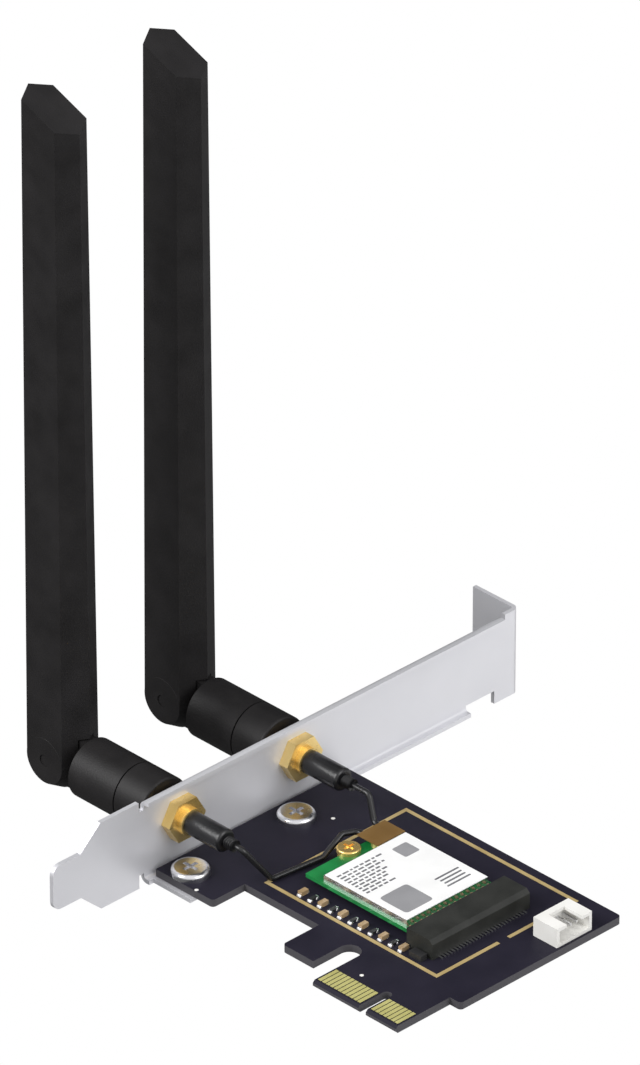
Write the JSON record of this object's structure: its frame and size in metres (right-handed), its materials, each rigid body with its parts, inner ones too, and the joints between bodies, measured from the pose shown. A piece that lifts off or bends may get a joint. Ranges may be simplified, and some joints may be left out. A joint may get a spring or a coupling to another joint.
{
  "type": "pcie wifi card",
  "caption": "Slot-in wireless network card with a folded metal bracket, a plug-in radio module and folding antennas on swivel joints.",
  "frame": {"origin": "centre of the slot key on the edge connector's leading edge, half way through the board", "axes": "+X away from the bracket along the edge connector, +Y up the bracket out of the slot, +Z off the component side"},
  "size_m": [0.1101, 0.12, 0.1488],
  "materials": {
    "board_mask": "satin",
    "gold_plate": "polished",
    "nickel_steel": "polished",
    "screw_steel": "satin",
    "green_board": "satin",
    "chip_black": "matte",
    "label_white": "matte",
    "brass_turned": "polished",
    "dark_plastic": "matte",
    "white_plastic": "satin",
    "chip_tan": "satin",
    "brown_tape": "satin",
    "sleeve_black": "satin",
    "antenna_black": "satin"
  },
  "bodies": {
    "card": {"circuit_board": "board_mask", "edge_contacts": "gold_plate", "board_border": "gold_plate", "bracket": "nickel_steel", "board_screws": "screw_steel", "radio_board": "green_board", "radio_shield": "screw_steel", "radio_chip": "chip_black", "radio_label": "label_white", "radio_standoff": "brass_turned", "radio_screw": "brass_turned", "socket_housing": "dark_plastic", "socket_contacts": "screw_steel", "header_housing": "white_plastic", "header_prongs": "screw_steel", "chip_capacitors": "chip_tan", "chip_resistors": "chip_black", "regulator": "chip_black", "plug_tape": "brown_tape", "near_jack_body": "brass_turned", "near_lock_washer": "brass_turned", "near_jack_nut": "brass_turned", "near_lead_sleeve": "sleeve_black", "near_lead": "sleeve_black", "near_lead_plug": "brass_turned", "near_coupling": "antenna_black", "near_swivel_ring": "screw_steel", "far_jack_body": "brass_turned", "far_lock_washer": "brass_turned", "far_jack_nut": "brass_turned", "far_lead_sleeve": "sleeve_black", "far_lead": "sleeve_black", "far_lead_plug": "brass_turned", "far_coupling": "antenna_black", "far_swivel_ring": "screw_steel"},
    "near_swivel": {"near_knuckle": "antenna_black"},
    "near_antenna": {"near_blade": "antenna_black", "near_blade_cap": "antenna_black", "near_radiator": "brass_turned", "near_hinge_pin": "screw_steel"},
    "far_swivel": {"far_knuckle": "antenna_black"},
    "far_antenna": {"far_blade": "antenna_black", "far_blade_cap": "antenna_black", "far_radiator": "brass_turned", "far_hinge_pin": "screw_steel"}
  },
  "joints": [
    {"name": "near_swivel_turn", "type": "hinge", "parent": "card", "child": "near_swivel", "pos_m": [-0.0738, 0.0126, 0.0088], "axis": [1, 0, 0], "range_deg": [0, 180]},
    {"name": "near_blade_fold", "type": "hinge", "parent": "near_swivel", "child": "near_antenna", "pos_m": [-0.0914, 0.0126, 0.0088], "axis": [0, -1, 0], "range_deg": [0, 90]},
    {"name": "far_swivel_turn", "type": "hinge", "parent": "card", "child": "far_swivel", "pos_m": [-0.0738, 0.0426, 0.0088], "axis": [-1, 0, 0], "range_deg": [0, 180]},
    {"name": "far_blade_fold", "type": "hinge", "parent": "far_swivel", "child": "far_antenna", "pos_m": [-0.0914, 0.0426, 0.0088], "axis": [0, -1, 0], "range_deg": [0, 90]}
  ]
}
